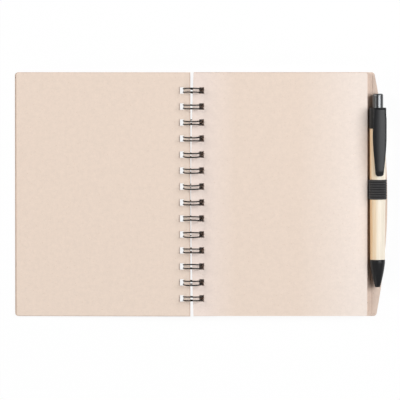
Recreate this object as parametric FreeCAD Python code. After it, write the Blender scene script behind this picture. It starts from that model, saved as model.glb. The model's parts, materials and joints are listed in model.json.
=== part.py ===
import FreeCAD, Part
import math
import os

# A wire-bound notebook lying open, with a retractable pen held on its back cover.
# Millimetres. X runs across both pages, Y up the page, Z up from the table.
# Every piece is drawn with the binding's axis over X = 0 and moved at the end, so that
# the origin lies on the table under the middle of the open notebook.

V = FreeCAD.Vector
ALONG_X = V(1, 0, 0)
ALONG_Y = V(0, 1, 0)
ALONG_Z = V(0, 0, 1)
BEYOND = 5.0

# Pages
page_width = 127.0
page_height = 177.8
page_corner = 1.2
block_thickness = 6.3
turned_thickness = 1.1
spine_bow = 2.1

# Covers
cover_thickness = 0.8
cover_overhang_ends = 0.4
cover_overhang_fore = 1.0
cover_corner = 2.4
front_step = 0.4

# Strip of the back cover beyond the pages, which carries the pen
flap_width_head = 5.0
flap_width_tail = 6.7
flap_bow = 8.9
score_from_pages = 3.3
score_width = 0.9
score_depth = 0.3

# Punched holes
hole_count = 14
hole_pitch = 11.7
hole_width = 3.6
hole_height = 4.8
hole_margin = 5.9
turned_pull = 1.2

# Binding wire
wire = 0.9
ring_radius = 6.75
loop_spread = 2.6
loop_tip_angle = 196.0
backbone_angle = 226.0
backbone_bend = 1.0

# Clearances
axis_to_turned = 0.3
cover_over_wire = 0.8
pages_over_cover_strip = 0.4
layer_gap = 0.02

# The back cover and the lower pages rise to pass over the wire
rise_from_hole = 2.2
rise_length = 15.0

# Pen, measured along its axis from the point
nose_length = 20.1
barrel_length = 95.9
collar_length = 15.3
pen_point_y = -67.7
pen_from_pages = 7.5
pen_roll = 9.0
barrel_radius_top = 5.9
barrel_radius_bottom = 5.45
barrel_bore = 4.25
barrel_edge = 0.3
collar_radius = 6.2
collar_edge = 0.5
spigot_fit = 0.05
collar_spigot = 8.0
collar_guide = 3.45
collar_mouth_depth = 9.6
nose_spigot = 7.0
nose_point_radius = 1.9
nose_bulge = 0.4
nose_band = 2.4

# Push button and its click mechanism
button_radius = 3.9
button_fit = 0.15
button_out = 10.2
button_inside = 4.6
button_round = 1.2
button_cap = 2.0
crown_radius = 3.95
crown_height = 5.0
crown_below_guide = 0.4
crown_teeth = 6
tooth_depth = 1.4
tooth_width = 1.8
stem_wall = 0.8
rotor_height = 6.0
rotor_radius = 3.2
rotor_floor = 2.0
rotor_ribs = 3
rotor_rib_width = 1.4

# Refill and spring
tube_radius = 1.6
tube_bore = 1.05
point_radius = 1.15
point_fit = 0.15
ball_radius = 0.4
point_length = 12.4
point_taper = 3.0
point_inset = 1.6
point_shank = 3.0
spring_seat = 9.0
spring_chamber = 2.6
spring_wire = 0.45
spring_radius = 2.05
spring_length = 18.0
spring_turns = 7
flange_radius = 2.45
flange_thickness = 1.2

# Clip
clip_length = 49.9
clip_width = 10.2
clip_width_top = 9.4
clip_width_tip = 5.6
clip_widest_at = 9.0
clip_taper_at = 23.0
clip_tip_round = 1.8
clip_root_round = 0.8
clip_thickness = 1.5
clip_rise = 0.9
clip_root_length = 7.0
clip_nib_length = 5.0
clip_nib_gap = 0.1
clip_crown_radius = 14.0

# Elastic pen loop
band_width = 14.4
band_base = 0.8
band_thickness = 0.55
band_ribs = 8
band_rib_height = 0.35
band_rib_share = 0.72
band_fit = 0.1
band_middle_y = 3.8

# Places of the sheets, worked out from the sizes above
ring_z = ring_radius + wire / 2
pages_bottom_z = cover_thickness + layer_gap
pages_top_z = pages_bottom_z + block_thickness
strip_z = wire + cover_over_wire
pages_strip_z = strip_z + cover_thickness + pages_over_cover_strip
spine_right = ring_radius - hole_margin
fore_right = spine_right + page_width
spine_left = ring_radius + turned_pull - hole_margin
fore_left = spine_left + page_width
half_page = page_height / 2
half_cover = half_page + cover_overhang_ends
turned_bottom = axis_to_turned + turned_thickness
front_top = turned_bottom + layer_gap
front_bottom = front_top + cover_thickness
front_fore = fore_left + cover_overhang_fore
left_tilt = math.asin(ring_z / math.hypot(front_fore, front_bottom)) - math.atan2(front_bottom, front_fore)
left_reach = front_fore * math.cos(left_tilt) - front_top * math.sin(left_tilt)
flap_end_x = fore_right + (flap_width_head + flap_width_tail) / 2
flap_skew = (flap_width_tail - flap_width_head) / 2
flap_reach = flap_end_x + flap_bow
score_x = fore_right + score_from_pages
rise_start = ring_radius + rise_from_hole
rise_end = rise_start + rise_length
middle_x = (flap_reach - left_reach) / 2

# Places along the pen
barrel_end = nose_length + barrel_length
collar_end = barrel_end + collar_length
button_end = collar_end + button_out
guide_start = barrel_end - collar_spigot
crown_top = guide_start - crown_below_guide
crown_bottom = crown_top - crown_height
rotor_bottom = crown_bottom - rotor_height
point_back = point_inset + point_length
flange_start = spring_seat + spring_length
pen_x = fore_right + pen_from_pages
loop_start = band_middle_y - band_width / 2 - pen_point_y


def barrel_radius_at(along):
    share = (along - nose_length) / barrel_length
    return barrel_radius_bottom + share * (barrel_radius_top - barrel_radius_bottom)


band_bore = barrel_radius_at(loop_start + band_width) + band_fit
pen_z = cover_thickness + band_base + band_bore


# Sheets

def plan_edge(start, end, middle):
    if abs(middle - start.x) < layer_gap:
        return Part.LineSegment(start, end).toShape()
    return Part.Arc(start, V(middle, 0, start.z), end).toShape()


def sheet_prism(spine, bow, fore, fore_bow, skew, half, corner, bottom, top):
    """A sheet's outline seen from above, as a prism between two heights.

    The spine edge and the fore-edge may bow outwards, and skew makes the foot wider than the head.
    """
    corners = [
        V(spine, -half, bottom),
        V(fore + skew, -half, bottom),
        V(fore - skew, half, bottom),
        V(spine, half, bottom),
    ]
    edges = [
        Part.LineSegment(corners[0], corners[1]).toShape(),
        plan_edge(corners[1], corners[2], fore + fore_bow),
        Part.LineSegment(corners[2], corners[3]).toShape(),
        plan_edge(corners[3], corners[0], spine - bow),
    ]
    prism = Part.Face(Part.Wire(edges)).extrude(ALONG_Z * (top - bottom))
    upright = [edge for edge in prism.Edges if edge.BoundBox.ZLength > (top - bottom) / 2]
    outer = [edge for edge in upright if edge.BoundBox.XMin > fore - skew - corner]
    return prism.makeFillet(corner, outer)


def rising_edges(x_start, strip_height, flat_height, x_end):
    """A line along the strip over the wire, an easy S down from it, and a line along the flat."""
    y = -half_cover - BEYOND
    start = V(x_start, y, strip_height)
    high = V(rise_start, y, strip_height)
    low = V(rise_end, y, flat_height)
    end = V(x_end, y, flat_height)
    middle = (rise_start + rise_end) / 2
    curve = Part.BezierCurve()
    curve.setPoles([high, V(middle, y, strip_height), V(middle, y, flat_height), low])
    return [
        Part.LineSegment(start, high).toShape(),
        curve.toShape(),
        Part.LineSegment(low, end).toShape(),
    ]


def side_prism(lower, upper):
    """The solid between a lower and an upper line seen from the end of the spine."""
    first, last = lower[0].firstVertex().Point, lower[-1].lastVertex().Point
    upper_first, upper_last = upper[0].firstVertex().Point, upper[-1].lastVertex().Point
    ends = [Part.LineSegment(last, upper_last).toShape(), Part.LineSegment(upper_first, first).toShape()]
    outline = Part.Wire(Part.__sortEdges__(lower + upper + ends))
    return Part.Face(outline).extrude(ALONG_Y * 2 * (half_cover + BEYOND))


def hole_rows():
    first = -hole_pitch * (hole_count - 1) / 2
    return [first + hole_pitch * index for index in range(hole_count)]


def disc(x, radius, y, width):
    return Part.makeCylinder(radius, width, V(x, y, ring_z), ALONG_Y)


def punched(sheets, pull):
    """The holes follow the ring from sheet to sheet, so each one is a slot between two arcs."""
    for y in hole_rows():
        start = y - hole_height / 2
        outer = disc(pull + hole_width / 2, ring_radius, start, hole_height)
        inner = disc(pull - hole_width / 2, ring_radius, start, hole_height)
        sheets = sheets.cut(outer.cut(inner))
    return sheets


def page_block():
    outline = sheet_prism(spine_right, spine_bow, fore_right, 0, 0, half_page, page_corner, 0, pages_top_z)
    far = fore_right + BEYOND
    near = spine_right - spine_bow - BEYOND
    lower = rising_edges(near, pages_strip_z, pages_bottom_z, far)
    y = -half_cover - BEYOND
    upper = [Part.LineSegment(V(near, y, pages_top_z), V(far, y, pages_top_z)).toShape()]
    return punched(outline.common(side_prism(lower, upper)), 0)


def score_groove():
    half = score_width / 2
    y = -half_cover - BEYOND
    top = cover_thickness
    edge = V(score_x - half, y, top)
    corners = [edge, V(score_x, y, top - score_depth), V(score_x + half, y, top), edge]
    return Part.Face(Part.makePolygon(corners)).extrude(ALONG_Y * 2 * (half_cover + BEYOND))


def back_cover():
    top = strip_z + cover_thickness
    outline = sheet_prism(spine_right, 0, flap_end_x, flap_bow, flap_skew, half_cover, cover_corner, 0, top)
    far = flap_reach + BEYOND
    near = spine_right - BEYOND
    lower = rising_edges(near, strip_z, 0, far)
    upper = rising_edges(near, top, cover_thickness, far)
    return punched(outline.common(side_prism(lower, upper)), 0).cut(score_groove())


def laid_left(sheets):
    """Turn sheets drawn flat on the right over to the left, down to the table at their outer edge."""
    turned = sheets.mirror(V(0, 0, 0), ALONG_X)
    turned.rotate(V(0, 0, ring_z), ALONG_Y, -math.degrees(left_tilt))
    return turned


def turned_pages():
    bottom = ring_z - turned_bottom
    top = bottom + turned_thickness
    flat = sheet_prism(spine_left, 0, fore_left, 0, 0, half_page, page_corner, bottom, top)
    return laid_left(punched(flat, turned_pull))


def front_cover():
    bottom = ring_z - front_bottom
    spine = spine_left - front_step
    top = bottom + cover_thickness
    flat = sheet_prism(spine, 0, front_fore, 0, 0, half_cover, cover_corner, bottom, top)
    return laid_left(punched(flat, turned_pull))


# Binding

def around(angle):
    turn = math.radians(angle)
    return V(math.cos(turn), 0, math.sin(turn))


def onward(angle):
    turn = math.radians(angle)
    return V(math.sin(turn), 0, -math.cos(turn))


def on_ring(angle, y):
    return V(0, y, ring_z) + around(angle) * ring_radius


def wire_section(centre, along):
    return Part.Face(Part.Wire(Part.Circle(centre, along, wire / 2).toShape()))


def wire_leg(y):
    section = wire_section(on_ring(loop_tip_angle, y), onward(loop_tip_angle))
    return section.revolve(V(0, 0, ring_z), ALONG_Y, loop_tip_angle - backbone_angle + 360)


def wire_tip(y):
    start = on_ring(loop_tip_angle, y + loop_spread / 2)
    section = wire_section(start, onward(loop_tip_angle))
    return section.revolve(on_ring(loop_tip_angle, y), around(loop_tip_angle), 180)


def backbone_run(y_from, y_to):
    """The wire between two loops: a quarter bend, a straight run and a quarter bend back."""
    outward = around(backbone_angle)
    ahead = onward(backbone_angle)
    first = wire_section(on_ring(backbone_angle, y_from), ahead)
    last = wire_section(on_ring(backbone_angle, y_to), ahead)
    bend_in = first.revolve(on_ring(backbone_angle, y_from + backbone_bend), outward, 90)
    bend_out = last.revolve(on_ring(backbone_angle, y_to - backbone_bend), outward, -90)
    start = on_ring(backbone_angle, y_from + backbone_bend) + ahead * backbone_bend
    run = wire_section(start, ALONG_Y).extrude(ALONG_Y * (y_to - y_from - 2 * backbone_bend))
    return [bend_in, run, bend_out]


def wire_binding():
    rows = hole_rows()
    half = loop_spread / 2
    pieces = []
    for y in rows:
        pieces += [wire_leg(y - half), wire_leg(y + half), wire_tip(y)]
    for y, next_y in zip(rows, rows[1:]):
        pieces += backbone_run(y + half, next_y - half)
    return pieces[0].multiFuse(pieces[1:])


# Pen, drawn along Y from its point and then laid in its loop

def turned_solid(points, arcs=None):
    """Turn an outline of (radius, distance along) points round the pen's axis.

    arcs gives, for the edge that starts at a point's number, a place that the edge bends through.
    """
    edges = []
    for index, start in enumerate(points):
        end = points[(index + 1) % len(points)]
        first, last = V(start[0], start[1], 0), V(end[0], end[1], 0)
        if arcs and index in arcs:
            through = V(arcs[index][0], arcs[index][1], 0)
            edges.append(Part.Arc(first, through, last).toShape())
        else:
            edges.append(Part.LineSegment(first, last).toShape())
    return Part.Face(Part.Wire(edges)).revolve(V(0, 0, 0), ALONG_Y, 360)


def laid_in_loop(piece, roll=0.0):
    piece.rotate(V(0, 0, 0), ALONG_Y, roll)
    piece.translate(V(pen_x, pen_point_y, pen_z))
    return piece


def pen_barrel():
    return turned_solid([
        (barrel_bore, nose_length),
        (barrel_radius_bottom - barrel_edge, nose_length),
        (barrel_radius_bottom, nose_length + barrel_edge),
        (barrel_radius_top, barrel_end - barrel_edge),
        (barrel_radius_top - barrel_edge, barrel_end),
        (barrel_bore, barrel_end),
    ])


def nose_cone():
    spigot = barrel_bore - spigot_fit
    spigot_end = nose_length + nose_spigot
    shoulder = nose_length - nose_band
    bore = point_radius + point_fit
    bulge_through = ((nose_point_radius + barrel_radius_bottom) / 2 + nose_bulge, shoulder / 2)
    return turned_solid([
        (bore, 0),
        (nose_point_radius, 0),
        (barrel_radius_bottom, shoulder),
        (barrel_radius_bottom, nose_length),
        (spigot, nose_length),
        (spigot, spigot_end),
        (spring_chamber, spigot_end),
        (spring_chamber, spring_seat),
        (bore, spring_seat),
    ], {1: bulge_through})


def clip_outline():
    """The clip seen from above: it widens from its root, then narrows to a blunt tip."""
    tip = collar_end - clip_length
    widest = collar_end - clip_widest_at
    taper = collar_end - clip_taper_at
    root, wide, narrow = clip_width_top / 2, clip_width / 2, clip_width_tip / 2
    edges = [
        Part.LineSegment(V(-root, collar_end, 0), V(root, collar_end, 0)).toShape(),
        Part.LineSegment(V(-narrow, tip, 0), V(narrow, tip, 0)).toShape(),
    ]
    for side in (1, -1):
        bend = Part.BezierCurve()
        halfway = (collar_end + widest) / 2
        bend.setPoles([V(side * root, collar_end, 0), V(side * wide, halfway, 0), V(side * wide, widest, 0)])
        edges.append(bend.toShape())
        edges.append(Part.LineSegment(V(side * wide, widest, 0), V(side * wide, taper, 0)).toShape())
        edges.append(Part.LineSegment(V(side * wide, taper, 0), V(side * narrow, tip, 0)).toShape())
    return Part.Wire(Part.__sortEdges__(edges))


def rounded_at(prism, along, radius):
    """Round a prism's upright edges that stand at a place along the pen."""
    upright = [edge for edge in prism.Edges if edge.BoundBox.ZLength > collar_radius]
    there = [edge for edge in upright if abs(edge.BoundBox.YMin - along) < layer_gap]
    return prism.makeFillet(radius, there)


def clip_side():
    """The clip seen from its side: a root on the collar, a straight arm and a nib over the barrel."""
    under = collar_radius + clip_rise
    tip = collar_end - clip_length
    nib_end = tip + clip_nib_length
    nib_low = barrel_radius_at(nib_end) + clip_nib_gap
    root_end = collar_end - clip_root_length
    inside = collar_radius - clip_rise
    heights = [
        (collar_end, inside),
        (collar_end, under + clip_thickness),
        (tip, under + clip_thickness),
        (tip, (under + nib_low) / 2),
        (tip + clip_nib_length / 2, nib_low),
        (nib_end, under),
        (root_end, under),
        (root_end, inside),
        (collar_end, inside),
    ]
    return Part.makePolygon([V(-clip_width, along, height) for along, height in heights])


def clip_arm():
    outline = Part.Face(clip_outline()).extrude(ALONG_Z * 2 * collar_radius)
    outline = rounded_at(outline, collar_end - clip_length, clip_tip_round)
    outline = rounded_at(outline, collar_end, clip_root_round)
    side = Part.Face(clip_side()).extrude(ALONG_X * 2 * clip_width)
    top = collar_radius + clip_rise + clip_thickness
    start = V(0, collar_end - clip_length - BEYOND, top - clip_crown_radius)
    crown = Part.makeCylinder(clip_crown_radius, clip_length + 2 * BEYOND, start, ALONG_Y)
    return outline.common(side).common(crown)


def pen_clip():
    spigot = barrel_bore - spigot_fit
    mouth = button_radius + button_fit
    mouth_start = collar_end - collar_mouth_depth
    collar = turned_solid([
        (collar_guide, guide_start),
        (spigot, guide_start),
        (spigot, barrel_end),
        (collar_radius - collar_edge, barrel_end),
        (collar_radius, barrel_end + collar_edge),
        (collar_radius, collar_end - collar_edge),
        (collar_radius - collar_edge, collar_end),
        (mouth, collar_end),
        (mouth, mouth_start),
        (collar_guide, mouth_start),
    ])
    inside = Part.makeCylinder(mouth, collar_length, V(0, barrel_end, 0), ALONG_Y)
    return collar.fuse(clip_arm().cut(inside))


def tooth_notches(edge, inward):
    """V notches round the end of a tube, so that the button and the rotor engage."""
    half = tooth_width / 2
    reach = crown_radius + BEYOND
    corners = [
        V(-half, edge - inward * BEYOND, 0),
        V(half, edge - inward * BEYOND, 0),
        V(half, edge, 0),
        V(0, edge + inward * tooth_depth, 0),
        V(-half, edge, 0),
        V(-half, edge - inward * BEYOND, 0),
    ]
    notches = []
    for index in range(crown_teeth):
        notch = Part.Face(Part.makePolygon(corners)).extrude(ALONG_Z * reach)
        notch.rotate(V(0, 0, 0), ALONG_Y, 360 / crown_teeth * index)
        notches.append(notch)
    return notches


def push_button():
    stem = collar_guide - button_fit
    bore = stem - stem_wall
    head_start = collar_end - button_inside
    corner = button_radius - button_round
    eased = button_round * math.sqrt(0.5)
    button = turned_solid([
        (bore, crown_bottom),
        (crown_radius, crown_bottom),
        (crown_radius, crown_top),
        (stem, crown_top),
        (stem, head_start),
        (button_radius, head_start),
        (button_radius, button_end - button_round),
        (corner, button_end),
        (0, button_end),
        (0, button_end - button_cap),
        (bore, button_end - button_cap),
    ], {6: (corner + eased, button_end - button_round + eased)})
    for notch in tooth_notches(crown_bottom, 1):
        button = button.cut(notch)
    return button


def click_rotor():
    bore = rotor_radius - stem_wall
    rotor = turned_solid([
        (0, rotor_bottom),
        (rotor_radius, rotor_bottom),
        (rotor_radius, crown_bottom),
        (bore, crown_bottom),
        (bore, rotor_bottom + rotor_floor),
        (0, rotor_bottom + rotor_floor),
    ])
    reach = crown_radius - bore
    for index in range(rotor_ribs):
        corner = V(-rotor_rib_width / 2, rotor_bottom, bore)
        rib = Part.makeBox(rotor_rib_width, rotor_height, reach, corner)
        rib.rotate(V(0, 0, 0), ALONG_Y, 360 / rotor_ribs * index)
        rotor = rotor.fuse(rib)
    for notch in tooth_notches(crown_bottom, -1):
        rotor = rotor.cut(notch)
    return rotor


def refill_tip():
    shank_end = point_back + point_shank
    return turned_solid([
        (0, point_inset),
        (ball_radius, point_inset),
        (point_radius, point_inset + point_taper),
        (point_radius, point_back),
        (tube_bore, point_back),
        (tube_bore, shank_end),
        (0, shank_end),
    ])


def refill_tube():
    return turned_solid([
        (tube_bore, point_back),
        (tube_radius, point_back),
        (tube_radius, flange_start),
        (flange_radius, flange_start),
        (flange_radius, flange_start + flange_thickness),
        (tube_radius, flange_start + flange_thickness),
        (tube_radius, rotor_bottom),
        (tube_bore, rotor_bottom),
    ])


def return_spring():
    height = spring_length - spring_wire
    helix = Part.makeHelix(height / spring_turns, height, spring_radius)
    half = spring_wire / 2
    corners = [V(spring_radius + x, 0, z) for x, z in ((half, 0), (0, half), (-half, 0), (0, -half), (half, 0))]
    coil = Part.Wire(helix).makePipeShell([Part.makePolygon(corners)], True, True)
    coil.rotate(V(0, 0, 0), ALONG_X, -90)
    coil.translate(V(0, spring_seat + half, 0))
    return coil


def loop_ring(offset, bottom, start, width):
    """A round arch over the barrel on straight legs, down to a flat bottom."""
    radius = band_bore + offset
    left, right = V(pen_x - radius, start, pen_z), V(pen_x + radius, start, pen_z)
    foot_left, foot_right = V(pen_x - radius, start, bottom), V(pen_x + radius, start, bottom)
    edges = [
        Part.Arc(left, V(pen_x, start, pen_z + radius), right).toShape(),
        Part.LineSegment(right, foot_right).toShape(),
        Part.LineSegment(foot_right, foot_left).toShape(),
        Part.LineSegment(foot_left, left).toShape(),
    ]
    return Part.Face(Part.Wire(edges)).extrude(ALONG_Y * width)


def pen_loop():
    start = band_middle_y - band_width / 2
    pitch = band_width / band_ribs
    rib = pitch * band_rib_share
    band = loop_ring(band_thickness, cover_thickness, start, band_width)
    for index in range(band_ribs):
        rib_start = start + pitch * index + (pitch - rib) / 2
        band = band.fuse(loop_ring(band_thickness + band_rib_height, cover_thickness, rib_start, rib))
    inside = loop_ring(0, cover_thickness + band_base, start - BEYOND, band_width + 2 * BEYOND)
    return band.cut(inside)


nodes = {
    "front_cover": front_cover(),
    "turned_pages": turned_pages(),
    "page_block": page_block(),
    "back_cover": back_cover(),
    "wire_binding": wire_binding(),
    "pen_loop": pen_loop(),
    "pen_barrel": laid_in_loop(pen_barrel()),
    "nose_cone": laid_in_loop(nose_cone()),
    "pen_clip": laid_in_loop(pen_clip(), pen_roll),
    "push_button": laid_in_loop(push_button()),
    "click_rotor": laid_in_loop(click_rotor()),
    "refill_tube": laid_in_loop(refill_tube()),
    "refill_tip": laid_in_loop(refill_tip()),
    "return_spring": laid_in_loop(return_spring()),
}

os.makedirs("parts", exist_ok=True)
for name, shape in nodes.items():
    placed = shape.translated(V(-middle_x, 0, 0))
    placed.exportStep("parts/" + name + ".step")
    box = placed.BoundBox
    print(name, placed.isValid(), len(placed.Solids), round(placed.Volume, 2),
          [round(v, 2) for v in (box.XMin, box.XMax, box.YMin, box.YMax, box.ZMin, box.ZMax)])
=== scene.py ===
import json
import math
import random

import bpy
from mathutils import Matrix, Vector

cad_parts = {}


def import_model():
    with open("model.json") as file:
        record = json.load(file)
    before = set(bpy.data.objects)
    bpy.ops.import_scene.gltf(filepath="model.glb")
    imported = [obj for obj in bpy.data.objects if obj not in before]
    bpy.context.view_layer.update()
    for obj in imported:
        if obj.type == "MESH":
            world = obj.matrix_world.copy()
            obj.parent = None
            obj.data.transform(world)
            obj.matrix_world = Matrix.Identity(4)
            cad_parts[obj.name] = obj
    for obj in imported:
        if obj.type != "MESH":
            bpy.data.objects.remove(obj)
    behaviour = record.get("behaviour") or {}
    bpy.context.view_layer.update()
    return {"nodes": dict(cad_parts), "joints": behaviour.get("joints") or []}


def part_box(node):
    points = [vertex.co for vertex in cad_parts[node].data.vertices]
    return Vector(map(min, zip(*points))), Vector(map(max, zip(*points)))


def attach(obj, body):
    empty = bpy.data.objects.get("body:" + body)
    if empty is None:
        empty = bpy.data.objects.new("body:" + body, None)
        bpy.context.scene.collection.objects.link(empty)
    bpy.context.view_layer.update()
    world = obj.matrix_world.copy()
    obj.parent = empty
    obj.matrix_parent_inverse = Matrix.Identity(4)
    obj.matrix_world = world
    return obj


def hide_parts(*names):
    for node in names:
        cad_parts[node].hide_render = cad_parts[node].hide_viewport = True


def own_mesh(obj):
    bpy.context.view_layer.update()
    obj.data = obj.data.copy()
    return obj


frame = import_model()
random.seed(7)

MM = 0.001

# Leaves
PAGE_CORNER = 1.2 * MM
LEAF_THICKNESS = 0.11 * MM
BLOCK_LEAVES = 46
TURNED_LEAVES = 8
LEAF_JITTER = 0.10 * MM
FORE_DROOP = 0.75 * MM
DROOP_WIDTH = 30 * MM
SPINE_BOW = 1.75 * MM
COVER_CLEARANCE = 0.4 * MM
RISE_FROM_HOLE = 2.2 * MM
RISE_LENGTH = 15.0 * MM
TURNED_PULL = 1.2 * MM
TURNED_SHEAR = 0.6 * MM

# Depths of the left-hand stack and its cover below the ring's axis
TURNED_TOP = 0.3 * MM
TURNED_BOTTOM = 1.4 * MM
FRONT_UNDERSIDE = 2.22 * MM

# Holes and binding
HOLE_COUNT = 14
HOLE_PITCH = 11.7 * MM
HOLE_WIDTH = 3.6 * MM
HOLE_HEIGHT = 4.8 * MM
HOLE_MARGIN = 5.9 * MM
WIRE_RADIUS = 0.45 * MM
RING_RADIUS = 6.75 * MM
LOOP_SPREAD = 2.6 * MM
LOOP_TIP_ANGLE = 196.0
BACKBONE_ANGLE = 226.0
BACKBONE_BEND = 1.0 * MM
LEAN_BELOW = 1.0 * MM
LEAN_ABOVE = 0.6 * MM

# Pen and its elastic loop
PEN_ROLL = math.radians(9.0)
LATHE_STEPS = 96
COLLAR_RADIUS = 6.2 * MM
CLIP_LENGTH = 49.9 * MM
CLIP_HALF_WIDTH = 5.1 * MM
CLIP_FACETS = 32
SPRING_TURNS = 7
SPRING_WIRE = 0.45 * MM
LOOP_RIBS = 8
LOOP_CORNER = 0.8 * MM

# Camera, with the photograph's places in its pixels
CAMERA_TILT = math.radians(2.5)
CAMERA_DISTANCE = 4.0
SENSOR_WIDTH = 36.0
FAR_LIMIT = 20.0
PHOTO_SIZE = 400
METRES_PER_PIXEL = 0.731 * MM
RING_AXIS_PIXEL = 192.5
PAGE_MIDDLE_PIXEL = 194.6

# Floor and sky
FLOOR_HALF = 3.0
FLOOR_GAP = 0.1 * MM
FLOOR_GLOW = 0.93
DARK_FROM_RING = 3.0 * MM
DARK_FROM_EDGE = 4.0 * MM
SKY_STRENGTH = 0.02

# Places read from the frame
joints = {joint["name"]: joint for joint in frame["joints"]}
ring_axis = Vector(joints["front_cover_hinge"]["pos_m"])
block_low, block_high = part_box("page_block")
turned_low, turned_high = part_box("turned_pages")
cover_low, cover_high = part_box("back_cover")
front_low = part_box("front_cover")[0]
barrel_low, barrel_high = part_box("pen_barrel")
nose_low, nose_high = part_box("nose_cone")
clip_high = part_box("pen_clip")[1]
spring_low, spring_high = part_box("return_spring")
loop_low, loop_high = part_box("pen_loop")

# The pen's axis and point, and distances along it from the point
pen_x = (barrel_low.x + barrel_high.x) / 2
pen_z = (barrel_low.z + barrel_high.z) / 2
point_y = nose_low.y
nose_length = barrel_low.y - nose_low.y
barrel_end = barrel_high.y - nose_low.y
collar_end = clip_high.y - nose_low.y
barrel_top_radius = (barrel_high.x - barrel_low.x) / 2
barrel_bottom_radius = (nose_high.x - nose_low.x) / 2


# Helpers

def between(start, end, share):
    return start + (end - start) * share


def spaced(start, end, steps):
    """Evenly spaced values from start to end, both included."""
    return [between(start, end, step / steps) for step in range(steps + 1)]


def smooth_step(value):
    value = min(max(value, 0.0), 1.0)
    return value * value * (3 - 2 * value)


def signed_power(value, power):
    return math.copysign(abs(value) ** power, value)


def arc(centre, radius, start, end, steps=6):
    """Points on an arc in a plane, about a centre and between two angles in degrees."""
    angles = [math.radians(angle) for angle in spaced(start, end, steps)]
    return [(centre[0] + radius * math.cos(angle), centre[1] + radius * math.sin(angle)) for angle in angles]


def band(ring, following, count, flip=False):
    """Faces between two closed rings of points, where each ring has count points."""
    first = ring * count
    second = following * count
    faces = []
    for step in range(count):
        after = (step + 1) % count
        face = [first + step, first + after, second + after, second + step]
        if flip:
            face = [face[0], *reversed(face[1:])]
        faces.append(face)
    return faces


def add_piece(name, mesh, body, replaced):
    """Show a mesh in place of a plain solid, on that solid's body."""
    piece = bpy.data.objects.new(name, mesh)
    bpy.context.scene.collection.objects.link(piece)
    for polygon in mesh.polygons:
        polygon.use_smooth = True
    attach(piece, body)
    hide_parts(replaced)
    return piece


def mesh_piece(name, points, faces, body, replaced, sharp_angle):
    mesh = bpy.data.meshes.new(name)
    mesh.from_pydata([tuple(point) for point in points], [], faces)
    mesh.update()
    piece = add_piece(name, mesh, body, replaced)
    sharpen(mesh, math.radians(sharp_angle))
    return piece


def sharpen(mesh, limit):
    """Keep an edge crisp where its two faces turn by more than a limit, or where it has fewer or more."""
    normals = [polygon.normal for polygon in mesh.polygons]
    edge_faces = {}
    for polygon in mesh.polygons:
        for key in polygon.edge_keys:
            edge_faces.setdefault(key, []).append(polygon.index)
    for edge in mesh.edges:
        touching = edge_faces.get(edge.key, [])
        if len(touching) == 2:
            edge.use_edge_sharp = normals[touching[0]].angle(normals[touching[1]], 0) > limit
        else:
            edge.use_edge_sharp = True


# Sheets

def hole_rows():
    half = HOLE_PITCH * (HOLE_COUNT - 1) / 2
    return spaced(-half, half, HOLE_COUNT - 1)


def leaf_rows(half):
    """Rows across a leaf: its ends, its corner roundings and both sides of each hole."""
    rows = [-half, -half + PAGE_CORNER]
    for y in hole_rows():
        rows += [y - HOLE_HEIGHT / 2, y + HOLE_HEIGHT / 2]
    return rows + [half - PAGE_CORNER, half]


def leaf_mesh(columns, height_at, bow, half_height, shift):
    """One leaf as points and faces.

    columns are distances from the ring's axis: spine edge, the two sides of the holes, then
    outwards to the start of the corner and the fore-edge. height_at gives the underside's height.
    The spine edge bows out by bow, and shift is how far the leaf lies out of line.
    """
    half = half_height - abs(shift[1])
    rows = leaf_rows(half)
    last_column = len(columns) - 1
    last_row = len(rows) - 1
    rounded_off = PAGE_CORNER * (1 - math.sqrt(0.5))
    points = []
    for lift in (0, LEAF_THICKNESS):
        for row, up in enumerate(rows):
            for column, across in enumerate(columns):
                x, y = across, up
                if column == 0:
                    x -= bow * (1 - (up / half) ** 2)
                elif column == last_column and row in (0, last_row):
                    x -= rounded_off
                    y -= math.copysign(rounded_off, up)
                points.append(Vector((x + shift[0], y + shift[1], height_at(x) + lift)))

    # A hole is the cell between columns 1 and 2 in every other row, from row 2 onwards
    holes = {(1, 2 + 2 * index) for index in range(HOLE_COUNT)}
    cells = {
        (column, row)
        for column in range(last_column)
        for row in range(last_row)
        if (column, row) not in holes
    }
    width = len(columns)
    over = len(rows) * width
    faces = []
    for column, row in cells:
        near = row * width + column
        far = near + width
        corners = (near, near + 1, far + 1, far)
        faces.append([corner + over for corner in corners])
        faces.append(list(reversed(corners)))
        walls = (
            ((column, row - 1), corners[0], corners[1]),
            ((column + 1, row), corners[1], corners[2]),
            ((column, row + 1), corners[2], corners[3]),
            ((column - 1, row), corners[3], corners[0]),
        )
        for neighbour, start, end in walls:
            if neighbour not in cells:
                faces.append([start, end, end + over, start + over])
    return points, faces


def leaf_shift(loose):
    """How far a leaf lies out of line, across and along the page: a little where it is loose."""
    if not loose:
        return (0, 0)
    return (random.uniform(-1, 0) * LEAF_JITTER, random.uniform(-1, 1) * LEAF_JITTER)


def join_leaves(leaves):
    points, faces = [], []
    for leaf_points, leaf_faces in leaves:
        offset = len(points)
        points += leaf_points
        faces += [[index + offset for index in face] for face in leaf_faces]
    return points, faces


def ring_offset(height):
    """How far out from its axis the ring is at a height."""
    return math.sqrt(RING_RADIUS ** 2 - (height - ring_axis.z) ** 2)


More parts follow.
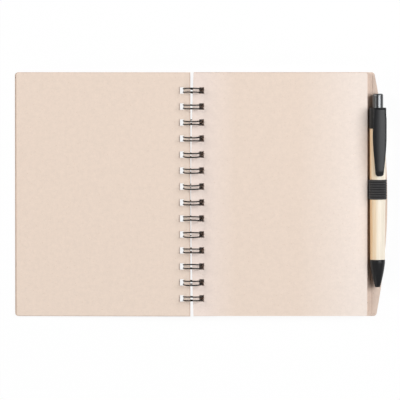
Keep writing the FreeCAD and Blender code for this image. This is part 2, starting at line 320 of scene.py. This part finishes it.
def page_block():
    """The right-hand leaves. The lower ones rise to the binding, the upper ones droop at the fore-edge."""
    spine = cover_low.x - ring_axis.x
    fore = block_high.x - ring_axis.x
    top = block_high.z - LEAF_THICKNESS
    rise_start = RING_RADIUS + RISE_FROM_HOLE
    rise_end = rise_start + RISE_LENGTH
    droop_start = fore - DROOP_WIDTH
    outwards = [
        *spaced(rise_start, rise_end, steps=7),
        *spaced(rise_end, droop_start, steps=4)[1:-1],
        *spaced(droop_start, fore - PAGE_CORNER, steps=6),
    ]
    leaves = []
    for index, share in enumerate(spaced(0, 1, BLOCK_LEAVES - 1)):
        near = between(cover_high.z + COVER_CLEARANCE, top, share)
        flat = between(block_low.z, top, share)

        def height_at(x, near=near, flat=flat, share=share):
            settled = smooth_step((x - rise_start) / RISE_LENGTH)
            droop = FORE_DROOP * share * max(0.0, (x - droop_start) / DROOP_WIDTH) ** 2
            return between(near, flat, settled) - droop

        hole = ring_offset(near)
        columns = [spine, hole - HOLE_WIDTH / 2, hole + HOLE_WIDTH / 2, *outwards, fore]
        shift = leaf_shift(0 < index < BLOCK_LEAVES - 1)
        leaves.append(leaf_mesh(columns, height_at, SPINE_BOW, block_high.y, shift))
    points, faces = join_leaves(leaves)
    points = [point + Vector((ring_axis.x, 0, 0)) for point in points]
    return mesh_piece("page_leaves", points, faces, "block", "page_block", sharp_angle=30)


def front_tilt():
    """How far the left-hand stack leans down from the ring to the table."""
    reach = ring_axis.x - front_low.x
    slope = math.atan2(FRONT_UNDERSIDE, reach)
    return math.asin(ring_axis.z / math.hypot(reach, FRONT_UNDERSIDE)) - slope


def turned_pages():
    """The left-hand leaves, drawn flat on the right, mirrored and laid down to the table.

    The stack leans a little inwards, so the lower leaves' edges show beside the top one's.
    """
    tilt = front_tilt()
    spine = RING_RADIUS + TURNED_PULL - HOLE_MARGIN
    reach = (ring_axis.x - turned_low.x) / math.cos(tilt)
    leaves = []
    for index, share in enumerate(spaced(0, 1, TURNED_LEAVES - 1)):
        height = -between(TURNED_BOTTOM, TURNED_TOP + LEAF_THICKNESS, share)

        def height_at(x, height=height):
            return height

        slide = TURNED_SHEAR * (share - 0.5)
        hole = ring_offset(ring_axis.z + height) + TURNED_PULL + slide
        fore = reach - TURNED_SHEAR * (1 - share)
        outwards = spaced(hole, fore - PAGE_CORNER, steps=8)[1:]
        columns = [spine + slide, hole - HOLE_WIDTH / 2, hole + HOLE_WIDTH / 2, *outwards, fore]
        shift = leaf_shift(index < TURNED_LEAVES - 1)
        leaves.append(leaf_mesh(columns, height_at, 0.0, turned_high.y, shift))
    points, faces = join_leaves(leaves)
    turn = Matrix.Rotation(-tilt, 4, "Y")
    points = [turn @ Vector((-point.x, point.y, point.z)) + ring_axis for point in points]
    faces = [list(reversed(face)) for face in faces]
    return mesh_piece("turned_leaves", points, faces, "front", "turned_pages", sharp_angle=30)


# Binding

def ring_point(angle, y):
    turn = math.radians(angle)
    return ring_axis + Vector((RING_RADIUS * math.cos(turn), y, RING_RADIUS * math.sin(turn)))


def leg_points(y, lean_below, lean_above):
    """One wire of a loop, from the backbone round under the pages and over the top to the tip.

    It leans a little to one side under the pages and over them, and is true where it goes through.
    """
    start = BACKBONE_ANGLE - 360
    end = LOOP_TIP_ANGLE
    points = []
    for angle in spaced(start, end, steps=44):
        if angle < 0:
            sway = lean_below * math.sin(math.pi * angle / start) ** 2
        else:
            sway = lean_above * math.sin(math.pi * angle / end) ** 2
        points.append(ring_point(angle, y + sway))
    return points


def bend_points(centre, first, second, radius, turn, steps):
    """Points on an arc about a centre, which starts in one direction and turns through another."""
    angles = [math.radians(angle) for angle in spaced(0, turn, steps)]
    return [centre + (first * math.cos(angle) + second * math.sin(angle)) * radius for angle in angles]


def wire_path():
    """The whole wire: along the backbone, out along each loop, round its tip and back."""
    points = []
    half = LOOP_SPREAD / 2
    along = Vector((0, 1, 0))
    tip_turn = math.radians(LOOP_TIP_ANGLE)
    tip_onward = Vector((-math.sin(tip_turn), 0, math.cos(tip_turn)))
    back_turn = math.radians(BACKBONE_ANGLE)
    back_onward = Vector((math.sin(back_turn), 0, -math.cos(back_turn)))
    for number, y in enumerate(hole_rows()):
        below = random.uniform(-1, 1) * LEAN_BELOW
        above = [random.uniform(-1, 1) * LEAN_ABOVE for side in (0, 1)]
        if number > 0:
            centre = ring_point(BACKBONE_ANGLE, y - half - BACKBONE_BEND)
            points += bend_points(centre, back_onward, along, BACKBONE_BEND, 90, steps=5)[:-1]
        points += leg_points(y - half, below, above[0])
        tip = ring_point(LOOP_TIP_ANGLE, y)
        points += bend_points(tip, -along, tip_onward, half, 180, steps=12)[1:-1]
        points += reversed(leg_points(y + half, below, above[1]))
        if number < HOLE_COUNT - 1:
            centre = ring_point(BACKBONE_ANGLE, y + half + BACKBONE_BEND)
            points += bend_points(centre, -along, back_onward, BACKBONE_BEND, 90, steps=5)[1:]
    return points


def wire_piece(name, points, radius, replaced):
    """A round wire along points, on the back's body."""
    curve = bpy.data.curves.new("wire_line", "CURVE")
    curve.dimensions = "3D"
    line = curve.splines.new("POLY")
    line.points.add(len(points) - 1)
    for place, point in zip(line.points, points):
        place.co = (*point, 1)
    curve.bevel_depth = radius
    curve.bevel_resolution = 3
    curve.use_fill_caps = True
    holder = bpy.data.objects.new("wire_line", curve)
    mesh = bpy.data.meshes.new_from_object(holder)
    bpy.data.objects.remove(holder)
    bpy.data.curves.remove(curve)
    return add_piece(name, mesh, "back", replaced)


def wire_binding():
    return wire_piece("binding_wire", wire_path(), WIRE_RADIUS, "wire_binding")


# Pen

def lathe(name, profile, replaced):
    """Turn a closed outline of (radius, distance from the point) about the pen's axis."""
    points = []
    faces = []
    for radius, along in profile:
        for step in range(LATHE_STEPS):
            angle = 2 * math.pi * step / LATHE_STEPS
            x = pen_x + radius * math.sin(angle)
            z = pen_z + radius * math.cos(angle)
            points.append((x, point_y + along, z))
    rings = len(profile)
    for ring in range(rings):
        faces += band(ring, (ring + 1) % rings, LATHE_STEPS, flip=True)
    return mesh_piece(name, points, faces, "back", replaced, sharp_angle=35)


def pen_barrel():
    edge = 0.3 * MM
    bore = 4.25 * MM
    profile = [(bore, nose_length)]
    profile += arc((barrel_bottom_radius - edge, nose_length + edge), edge, -90, 0)
    for share in spaced(0, 1, steps=12)[1:-1]:
        radius = between(barrel_bottom_radius, barrel_top_radius, share)
        profile.append((radius, between(nose_length, barrel_end, share)))
    profile += arc((barrel_top_radius - edge, barrel_end - edge), edge, 0, 90)
    profile.append((bore, barrel_end))
    return lathe("wooden_barrel", profile, "pen_barrel")


def nose_cone():
    """A slightly bulged cone with a straight band, a spigot in the barrel and a chamber for the spring."""
    mouth = 1.3 * MM
    tip = 1.9 * MM
    lip = 0.35 * MM
    bulge = 0.4 * MM
    band_width = 2.4 * MM
    edge = 0.25 * MM
    spigot = 4.2 * MM
    spigot_length = 7.0 * MM
    chamber = 2.6 * MM
    spring_seat = 9.0 * MM
    shoulder = nose_length - band_width
    spigot_end = nose_length + spigot_length
    profile = [(mouth, spring_seat), (mouth, 0)]
    profile += arc((tip - lip, lip), lip, -90, 0, steps=5)
    for share in spaced(0, 1, steps=24)[1:-1]:
        radius = between(tip, barrel_bottom_radius, share) + bulge * 4 * share * (1 - share)
        profile.append((min(radius, barrel_bottom_radius), between(lip, shoulder, share)))
    profile.append((barrel_bottom_radius, shoulder))
    profile += arc((barrel_bottom_radius - edge, nose_length - edge), edge, 0, 90, steps=4)
    profile += [(spigot, nose_length), (spigot, spigot_end), (chamber, spigot_end), (chamber, spring_seat)]
    return lathe("pen_nose", profile, "nose_cone")


def spring_coil():
    """The spring behind the nose cone, which shortens when the button is pressed."""
    radius = (spring_high.x - spring_low.x - SPRING_WIRE) / 2
    length = spring_high.y - spring_low.y
    steps_per_turn = 24
    points = []
    for share in spaced(0, 1, steps=steps_per_turn * SPRING_TURNS):
        angle = 2 * math.pi * SPRING_TURNS * share
        points.append((
            pen_x + radius * math.cos(angle),
            spring_low.y + SPRING_WIRE / 2 + (length - SPRING_WIRE) * share,
            pen_z + radius * math.sin(angle),
        ))
    piece = wire_piece("spring_coil", points, SPRING_WIRE / 2, "return_spring")
    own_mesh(piece)
    return piece


def pen_collar():
    edge = 0.5 * MM
    bore = 4.2 * MM
    mouth = 4.25 * MM
    mouth_depth = 4.0 * MM
    profile = [(bore, barrel_end)]
    profile += arc((COLLAR_RADIUS - edge, barrel_end + edge), edge, -90, 0)
    profile += arc((COLLAR_RADIUS - edge, collar_end - edge), edge, 0, 90)
    profile += [(mouth, collar_end), (mouth, collar_end - mouth_depth)]
    return lathe("pen_collar", profile, "pen_clip")


def clip_half_width(back):
    """Half the clip's width at a distance back from the collar's end."""
    root = 4.7 * MM
    root_corner = 0.8 * MM
    widest = 9.0 * MM
    taper_start = 23.0 * MM
    taper_power = 1.4
    tip = 2.8 * MM
    tip_corner = 1.8 * MM
    if back < widest:
        half = between(root, CLIP_HALF_WIDTH, math.sin(math.pi / 2 * back / widest))
    elif back < taper_start:
        half = CLIP_HALF_WIDTH
    else:
        taper = ((back - taper_start) / (CLIP_LENGTH - taper_start)) ** taper_power
        half = between(CLIP_HALF_WIDTH, tip, taper)
    for corner, distance in ((tip_corner, CLIP_LENGTH - back), (root_corner, back)):
        if distance < corner:
            half -= corner - math.sqrt(max(0.0, corner ** 2 - (corner - distance) ** 2))
    return half


def clip_stations():
    """Stations along the clip, each a distance, a half width, and the heights of its two faces.

    The underside goes down into the collar at the root and has a nib near the tip, towards the
    barrel. The top slopes down at both ends.
    """
    rise = 0.9 * MM
    thick = 1.5 * MM
    nib_place, nib_width, nib_depth = 2.6 * MM, 1.5 * MM, 0.95 * MM
    root_length, root_blend, root_depth = 6.0 * MM, 2.4 * MM, 1.6 * MM
    tip_slope, tip_drop = 4.0 * MM, 0.5 * MM
    end_slope, end_drop = 1.6 * MM, 0.7 * MM
    narrowest = 0.05 * MM
    under = COLLAR_RADIUS + rise
    over = under + thick
    stations = []
    for turn in spaced(0, math.pi, steps=60):
        back = CLIP_LENGTH * (1 - math.cos(turn)) / 2
        to_tip = CLIP_LENGTH - back
        nib = math.exp(-((to_tip - nib_place) / nib_width) ** 2)
        root = 1 - smooth_step((back - root_length) / root_blend)
        low = under - nib * nib_depth - root * root_depth
        high = over - tip_drop * smooth_step(1 - to_tip / tip_slope)
        high -= end_drop * smooth_step(1 - back / end_slope)
        stations.append((collar_end - back, max(clip_half_width(back), narrowest), low, high))
    return stations


def clip_section(half, low, high):
    """A flattened oval: a rounded plate with a crowned top and a flatter underside."""
    top_crown = 0.55 * MM
    bottom_crown = 0.2 * MM
    side_power = 0.45
    face_power = 0.6
    section = []
    for step in range(CLIP_FACETS):
        angle = 2 * math.pi * step / CLIP_FACETS
        x = half * signed_power(math.cos(angle), side_power)
        z = (high - low) / 2 * signed_power(math.sin(angle), face_power)
        crown = top_crown if z > 0 else bottom_crown
        section.append((x, (low + high) / 2 + z - crown * (x / CLIP_HALF_WIDTH) ** 2))
    return section


def clip_arm():
    turn = Matrix.Rotation(PEN_ROLL, 4, "Y")
    stations = clip_stations()
    points = []
    faces = []
    for along, half, low, high in stations:
        for x, z in clip_section(half, low, high):
            place = turn @ Vector((x, 0, z))
            points.append((pen_x + place.x, point_y + along, pen_z + place.z))
    for station in range(len(stations) - 1):
        faces += band(station, station + 1, CLIP_FACETS)
    last = (len(stations) - 1) * CLIP_FACETS
    faces.append(list(reversed(range(CLIP_FACETS))))
    faces.append(list(range(last, last + CLIP_FACETS)))
    return mesh_piece("pen_clip_arm", points, faces, "back", "pen_clip", sharp_angle=50)


def loop_route(radius, bottom):
    """The elastic's closed line round the pen, seen along it: over the top and flat along the cover."""
    left, right = pen_x - radius, pen_x + radius
    left_turn, right_turn, turn_z = left + LOOP_CORNER, right - LOOP_CORNER, bottom + LOOP_CORNER
    stretches = (
        arc((pen_x, pen_z), radius, 180, 0, steps=48),
        [(right, z) for z in spaced(pen_z, turn_z, steps=6)],
        arc((right_turn, turn_z), LOOP_CORNER, 0, -90, steps=4),
        [(x, bottom) for x in spaced(right_turn, left_turn, steps=10)],
        arc((left_turn, turn_z), LOOP_CORNER, -90, -180, steps=4),
        [(left, z) for z in spaced(turn_z, pen_z, steps=6)],
    )
    return [point for stretch in stretches for point in stretch[:-1]]


def pen_loop():
    """Ribbed elastic: cords side by side, as one closed band."""
    backing = 0.05 * MM
    thick = 0.45 * MM
    rib_height = 0.45 * MM
    steps_per_rib = 8
    swell_power = 0.8
    inner = (loop_high.x - loop_low.x) / 2 - thick - rib_height
    profile = []
    for share in spaced(0, 1, steps=steps_per_rib * LOOP_RIBS):
        swell = abs(math.sin(math.pi * share * LOOP_RIBS)) ** swell_power
        profile.append((share, thick + rib_height * swell))
    profile += [(share, backing) for share in spaced(1, 0, steps=4)]
    under_pen = barrel_low.z - loop_low.z
    points = []
    faces = []
    for share, offset in profile:
        y = between(loop_low.y, loop_high.y, share)
        bottom = loop_low.z + under_pen * (1 - offset / (thick + rib_height))
        points += [(x, y, z) for x, z in loop_route(inner + offset, bottom)]
    rings = len(profile)
    for ring in range(rings):
        faces += band(ring, (ring + 1) % rings, len(points) // rings)
    return mesh_piece("elastic_loop", points, faces, "back", "pen_loop", sharp_angle=60)


# Colours

def linear(red, green, blue):
    """A colour from its 0 to 255 screen values, by the usual screen curve."""
    made = []
    for value in (red, green, blue):
        value /= 255
        made.append(value / 12.92 if value <= 0.04045 else ((value + 0.055) / 1.055) ** 2.4)
    return (*made, 1.0)


def grey(value):
    return (value, value, value, 1.0)


def tinted(colour, factor):
    return (*[channel * factor for channel in colour[:3]], 1.0)


PAPER = linear(233, 214, 199)
PAPER_FLECK = linear(219, 194, 175)
CARD = linear(224, 203, 188)
CARD_FLECK = linear(160, 128, 104)

# Painted light: bands where the block's paper is painted paler, beside the binding and towards the
# fore-edge, standing in for the light these parts of the sheets catch: distances from the ring's axis at
# which the tint starts and is full
PAINTED_LIGHT_BANDS = (
    (32 * MM, 8 * MM, (1.07, 1.1, 1.17, 1.0)),
    (77 * MM, 120 * MM, (1.07, 1.13, 1.2, 1.0)),
)


# Materials

class Shader:
    """A node material under construction."""

    def __init__(self, name, roughness, metallic=0.0):
        self.material = bpy.data.materials.new(name)
        self.material.use_nodes = True
        self.tree = self.material.node_tree
        self.surface = self.tree.nodes["Principled BSDF"]
        self.place = self.node("ShaderNodeTexCoord").outputs["Object"]
        self.set_surface({"Roughness": roughness, "Metallic": metallic})

    def feed(self, socket, value):
        """Link another node's output to a socket, or set the socket to a plain value."""
        if isinstance(value, bpy.types.NodeSocket):
            self.tree.links.new(value, socket)
        else:
            socket.default_value = value

    def node(self, kind, inputs=None):
        """A new node, with its inputs fed by name or by number."""
        made = self.tree.nodes.new(kind)
        for key, value in (inputs or {}).items():
            self.feed(made.inputs[key], value)
        return made

    def set_surface(self, inputs):
        for name, value in inputs.items():
            self.feed(self.surface.inputs[name], value)

    def coordinate(self, axis):
        return self.node("ShaderNodeSeparateXYZ", {"Vector": self.place}).outputs[axis]

    def stretched(self, x, y, z):
        return self.node("ShaderNodeMapping", {"Vector": self.place, "Scale": (x, y, z)}).outputs["Vector"]

    def noise(self, place, scale, detail, roughness=0.5, distortion=0.0):
        made = self.node("ShaderNodeTexNoise", {
            "Vector": place,
            "Scale": scale,
            "Detail": detail,
            "Roughness": roughness,
            "Distortion": distortion,
        })
        return made.outputs["Fac"]

    def maths(self, operation, *values):
        made = self.node("ShaderNodeMath", dict(enumerate(values)))
        made.operation = operation
        return made.outputs["Value"]

    def map_range(self, value, start, end, low=0.0, high=1.0):
        """A value carried from the range start to end over to low to high, and held at its ends."""
        made = self.node("ShaderNodeMapRange", {
            "Value": value,
            "From Min": start,
            "From Max": end,
            "To Min": low,
            "To Max": high,
        })
        return made.outputs["Result"]

    def ramp(self, factor, *stops):
        made = self.node("ShaderNodeValToRGB", {"Fac": factor})
        elements = made.color_ramp.elements
        while len(elements) < len(stops):
            elements.new(0.5)
        for element, (position, colour) in zip(elements, stops):
            element.position = position
            element.color = colour
        return made.outputs["Color"]

    def mix(self, factor, first, second, blend="MIX"):
        """Mix two colours. The node has sockets for other kinds too, so its colour ones go by number."""
        made = self.node("ShaderNodeMix")
        made.data_type = "RGBA"
        made.blend_type = blend
        for number, value in ((0, factor), (6, first), (7, second)):
            self.feed(made.inputs[number], value)
        return made.outputs[2]

    def bump(self, height, strength, distance):
        made = self.node("ShaderNodeBump", {"Height": height, "Strength": strength, "Distance": distance})
        self.set_surface({"Normal": made.outputs["Normal"]})


def painted_light_at_edges(shader, tone):
    """Painted light: the right-hand sheets are painted a little paler beside the binding and towards their
    fore-edges.
    """
    distance = shader.maths("SUBTRACT", shader.coordinate("X"), ring_axis.x)
    for start, end, tint in PAINTED_LIGHT_BANDS:
        tone = shader.mix(shader.map_range(distance, start, end), tone, tint, "MULTIPLY")
    return tone


def fibrous(name, colour, roughness, contrast, fleck_colour, with_painted_light=False):
    """Uncoated recycled stock: cloudy tone, short fibres and a few faint flecks."""
    shader = Shader(name, roughness)
    cloud = shader.noise(shader.place, scale=330, detail=4, roughness=0.65)
    tone = shader.ramp(cloud, (0.3, tinted(colour, 1 - contrast)), (0.7, tinted(colour, 1 + contrast)))
    for stretch in ((500, 2600, 800), (2600, 500, 800)):
        fibre = shader.noise(shader.stretched(*stretch), scale=1.0, detail=3, roughness=0.7, distortion=0.4)
        shade = shader.ramp(fibre, (0.35, grey(1 - contrast)), (0.5, grey(1.0)))
        tone = shader.mix(1.0, tone, shade, "MULTIPLY")
    cells = shader.node("ShaderNodeTexVoronoi", {"Vector": shader.place, "Scale": 330})
    fleck = shader.ramp(cells.outputs["Distance"], (0.05, grey(1.0)), (0.11, grey(0.0)))
    tone = shader.mix(fleck, tone, fleck_colour)
    # Painted light: the block's sheets are painted paler beside the binding and towards their fore-edges.
    if with_painted_light:
        tone = painted_light_at_edges(shader, tone)
    shader.set_surface({"Base Color": tone, "Specular IOR Level": 0.25})
    tooth = shader.noise(shader.place, scale=2400, detail=4, roughness=0.7)
    shader.bump(tooth, strength=0.25, distance=0.06 * MM)
    return shader.material


def coated_wire():
    shader = Shader("coated_wire", roughness=0.38)
    wear = shader.noise(shader.place, scale=700, detail=3, roughness=0.6)
    shader.set_surface({
        "Base Color": shader.ramp(wear, (0.35, linear(14, 11, 10)), (0.7, linear(24, 19, 17))),
        "Specular IOR Level": 0.25,
        "Coat Weight": 0.06,
        "Coat Roughness": 0.2,
    })
    shader.bump(shader.noise(shader.place, scale=1800, detail=3), strength=0.08, distance=0.04 * MM)
    return shader.material


def bamboo():
    """Bamboo with straight grain: pale, with painted shade that makes the side next to the pages darker and
    honey-coloured.
    """
    shader = Shader("bamboo", roughness=0.45)
    grain = shader.noise(shader.stretched(330, 9, 330), scale=1.0, detail=3, roughness=0.55, distortion=0.6)
    full_shade_x = pen_x - 0.95 * barrel_top_radius
    full_light_x = pen_x + 0.15 * barrel_top_radius
    # Painted shade and light: the colour is pushed towards honey on the side next to the pages, standing in
    # for its shade and the warm light reflected off them, and towards pale on the side away from them.
    side = shader.map_range(shader.coordinate("X"), full_shade_x, full_light_x, low=-0.25, high=0.45)
    tone = shader.ramp(
        shader.maths("ADD", grain, side),
        (0.25, linear(229, 190, 145)),
        (0.55, linear(240, 216, 184)),
        (0.85, linear(247, 235, 216)),
    )
    pores = shader.noise(shader.stretched(2600, 45, 2600), scale=1.0, detail=4, roughness=0.65)
    shade = shader.ramp(pores, (0.36, grey(0.88)), (0.52, grey(1.0)))
    shader.set_surface({
        "Base Color": shader.mix(1.0, tone, shade, "MULTIPLY"),
        "Coat Weight": 0.12,
        "Coat Roughness": 0.25,
    })
    shader.bump(pores, strength=0.2, distance=0.08 * MM)
    return shader.material


def moulded(name, colour, roughness, grain, specular=0.5):
    shader = Shader(name, roughness)
    cloud = shader.noise(shader.place, scale=900, detail=3, roughness=0.6)
    tone = shader.ramp(cloud, (0.3, tinted(colour, 0.9)), (0.7, tinted(colour, 1.1)))
    shader.set_surface({"Base Color": tone, "Specular IOR Level": specular})
    shader.bump(shader.noise(shader.place, scale=5200, detail=2), strength=grain, distance=0.03 * MM)
    return shader.material


def elastic():
    """Woven elastic: fine crosswise threads over each cord, with painted shade darkening the grooves between
    the cords, so that the cords' tops read paler.
    """
    shader = Shader("elastic", roughness=0.85)
    threads = shader.noise(shader.stretched(5200, 1500, 5200), scale=1.0, detail=3, roughness=0.7)
    tone = shader.ramp(threads, (0.35, linear(40, 39, 40)), (0.65, linear(74, 72, 73)))
    rib_width = (loop_high.y - loop_low.y) / LOOP_RIBS
    from_edge = shader.maths("SUBTRACT", shader.coordinate("Y"), loop_low.y)
    half_turns = shader.maths("MULTIPLY", from_edge, math.pi / rib_width)
    wave = shader.maths("ABSOLUTE", shader.maths("SINE", half_turns))
    # Painted shade: the grooves between the cords are painted darker, and the cords' tops keep the full
    # tone.
    painted_groove_shade = shader.ramp(wave, (0.35, grey(0.12)), (0.95, grey(1.0)))
    shader.set_surface({
        "Base Color": shader.mix(1.0, tone, painted_groove_shade, "MULTIPLY"),
        "Sheen Weight": 0.12,
        "Sheen Roughness": 0.4,
    })
    shader.bump(threads, strength=0.6, distance=0.12 * MM)
    return shader.material


def bright_metal(name, colour, roughness, brushing=(900, 900, 900)):
    shader = Shader(name, roughness, metallic=1.0)
    fine = shader.noise(shader.stretched(*brushing), scale=1.0, detail=3, roughness=0.6)
    tone = shader.ramp(fine, (0.3, tinted(colour, 0.92)), (0.7, tinted(colour, 1.05)))
    shader.set_surface({"Base Color": tone})
    shader.bump(fine, strength=0.05, distance=0.03 * MM)
    return shader.material


def dress(target, material):
    target.data.materials.clear()
    target.data.materials.append(material)


def dress_all(pieces):
    paper = fibrous("recycled_paper", PAPER, roughness=0.9, contrast=0.03, fleck_colour=PAPER_FLECK)
    # The block's paper has painted light: paler beside the binding and towards the fore-edges.
    block_paper = fibrous("block_paper", PAPER, 0.9, 0.03, PAPER_FLECK, with_painted_light=True)
    card = fibrous("cover_card", CARD, roughness=0.88, contrast=0.045, fleck_colour=CARD_FLECK)
    black = moulded("satin_black", linear(38, 38, 39), roughness=0.3, grain=0.12, specular=0.2)
    piece_materials = {
        "page_leaves": block_paper,
        "turned_leaves": paper,
        "binding_wire": coated_wire(),
        "wooden_barrel": bamboo(),
        "pen_nose": black,
        "pen_collar": black,
        "pen_clip_arm": black,
        "elastic_loop": elastic(),
        "spring_coil": bright_metal("spring_steel", linear(190, 190, 190), 0.3),
    }
    node_materials = {
        "front_cover": card,
        "back_cover": card,
        "push_button": bright_metal("button_metal", linear(108, 109, 110), 0.33, (900, 60, 900)),
        "click_rotor": moulded("inner_plastic", linear(205, 205, 198), roughness=0.45, grain=0.1),
        "refill_tube": moulded("refill_plastic", linear(96, 100, 112), roughness=0.3, grain=0.05),
        "refill_tip": bright_metal("refill_brass", linear(214, 180, 120), 0.25),
    }
    for piece in pieces:
        dress(piece, piece_materials[piece.name])
    for node, material in node_materials.items():
        dress(frame["nodes"][node], material)


# Camera, floor and light

def camera():
    data = bpy.data.cameras.new("camera")
    data.sensor_width = SENSOR_WIDTH
    data.lens = SENSOR_WIDTH * CAMERA_DISTANCE / (METRES_PER_PIXEL * PHOTO_SIZE)
    data.clip_end = FAR_LIMIT
    made = bpy.data.objects.new("camera", data)
    bpy.context.scene.collection.objects.link(made)
    across = ring_axis.x + (PHOTO_SIZE / 2 - RING_AXIS_PIXEL) * METRES_PER_PIXEL
    up = -(PHOTO_SIZE / 2 - PAGE_MIDDLE_PIXEL) * METRES_PER_PIXEL / math.cos(CAMERA_TILT)
    target = Vector((across, up, block_high.z))
    back = Vector((0, math.sin(CAMERA_TILT), math.cos(CAMERA_TILT)))
    made.location = target + back * CAMERA_DISTANCE
    made.rotation_euler = (-CAMERA_TILT, 0, 0)
    bpy.context.scene.camera = made


def seen_directly(shader):
    """1 for camera, glossy and transmitted rays, and 0 for the light on the object."""
    rays = shader.node("ShaderNodeLightPath").outputs
    seen = shader.maths("MAXIMUM", rays["Is Camera Ray"], rays["Is Glossy Ray"])
    return shader.maths("MAXIMUM", seen, rays["Is Transmission Ray"])


def clear_of_block(shader):
    """0 under the page block, so that its deep holes stay dark, and 1 elsewhere."""
    middle = (ring_axis.x + DARK_FROM_RING + block_high.x) / 2
    from_middle = shader.maths("ABSOLUTE", shader.maths("SUBTRACT", shader.coordinate("X"), middle))
    beside = shader.maths("GREATER_THAN", from_middle, block_high.x - middle)
    up_or_down = shader.maths("ABSOLUTE", shader.coordinate("Y"))
    beyond = shader.maths("GREATER_THAN", up_or_down, block_high.y - DARK_FROM_EDGE)
    return shader.maths("MAXIMUM", beside, beyond)


def floor():
    """A pale table that looks white where it is seen directly, and throws no extra light on the object."""
    mesh = bpy.data.meshes.new("floor")
    corners = [(x * FLOOR_HALF, y * FLOOR_HALF, 0) for x, y in ((-1, -1), (1, -1), (1, 1), (-1, 1))]
    mesh.from_pydata(corners, [], [(0, 1, 2, 3)])
    made = bpy.data.objects.new("floor", mesh)
    bpy.context.scene.collection.objects.link(made)
    made.location.z = -FLOOR_GAP
    shader = Shader("floor", roughness=0.9)
    shader.set_surface({"Base Color": grey(0.95)})
    glow = shader.node("ShaderNodeEmission", {"Color": grey(1.0), "Strength": 1.0})
    open_table = shader.maths("MULTIPLY", seen_directly(shader), clear_of_block(shader))
    blend = shader.node("ShaderNodeMixShader", {
        "Fac": shader.maths("MULTIPLY", open_table, FLOOR_GLOW),
        1: shader.surface.outputs["BSDF"],
        2: glow.outputs["Emission"],
    })
    shader.feed(shader.tree.nodes["Material Output"].inputs["Surface"], blend.outputs["Shader"])
    made.data.materials.append(shader.material)


def world():
    """A faint even light on the object, with a pale backdrop for the camera."""
    made = bpy.data.worlds.new("studio")
    bpy.context.scene.world = made
    made.use_nodes = True
    tree = made.node_tree
    tree.nodes.clear()
    output = tree.nodes.new("ShaderNodeOutputWorld")
    sky = tree.nodes.new("ShaderNodeBackground")
    sky.inputs["Color"].default_value = grey(1.0)
    sky.inputs["Strength"].default_value = SKY_STRENGTH
    backdrop = tree.nodes.new("ShaderNodeBackground")
    backdrop.inputs["Strength"].default_value = 1.0
    path = tree.nodes.new("ShaderNodeLightPath")
    blend = tree.nodes.new("ShaderNodeMixShader")
    tree.links.new(path.outputs["Is Camera Ray"], blend.inputs["Fac"])
    tree.links.new(sky.outputs["Background"], blend.inputs[1])
    tree.links.new(backdrop.outputs["Background"], blend.inputs[2])
    tree.links.new(blend.outputs["Shader"], output.inputs["Surface"])


def softbox(name, place, size, radiance, colour):
    """A rectangular light that faces the frame's origin."""
    data = bpy.data.lights.new(name, "AREA")
    data.color = colour
    data.shape = "RECTANGLE"
    data.size, data.size_y = size
    data.energy = radiance * math.pi * size[0] * size[1]
    made = bpy.data.objects.new(name, data)
    bpy.context.scene.collection.objects.link(made)
    made.location = place
    made.rotation_euler = (-Vector(place)).to_track_quat("-Z", "Y").to_euler()


def lights():
    """A high softbox on the right, a lower one on the left, and a low one front left for the front edges."""
    softbox("right_softbox", (0.95, 0.25, 1.15), size=(0.8, 1.1), radiance=7.5, colour=(0.97, 0.985, 1.0))
    softbox("left_softbox", (-1.1, 0.5, 0.8), size=(0.6, 1.1), radiance=5.7, colour=(1.0, 0.985, 0.96))
    softbox("front_softbox", (-0.75, -1.1, 0.55), size=(0.9, 0.6), radiance=4.0, colour=(1.0, 1.0, 1.0))


pieces = [
    page_block(),
    turned_pages(),
    wire_binding(),
    pen_barrel(),
    nose_cone(),
    spring_coil(),
    pen_collar(),
    clip_arm(),
    pen_loop(),
]
dress_all(pieces)
camera()
floor()
world()
lights()
bpy.context.scene.view_settings.view_transform = "Standard"
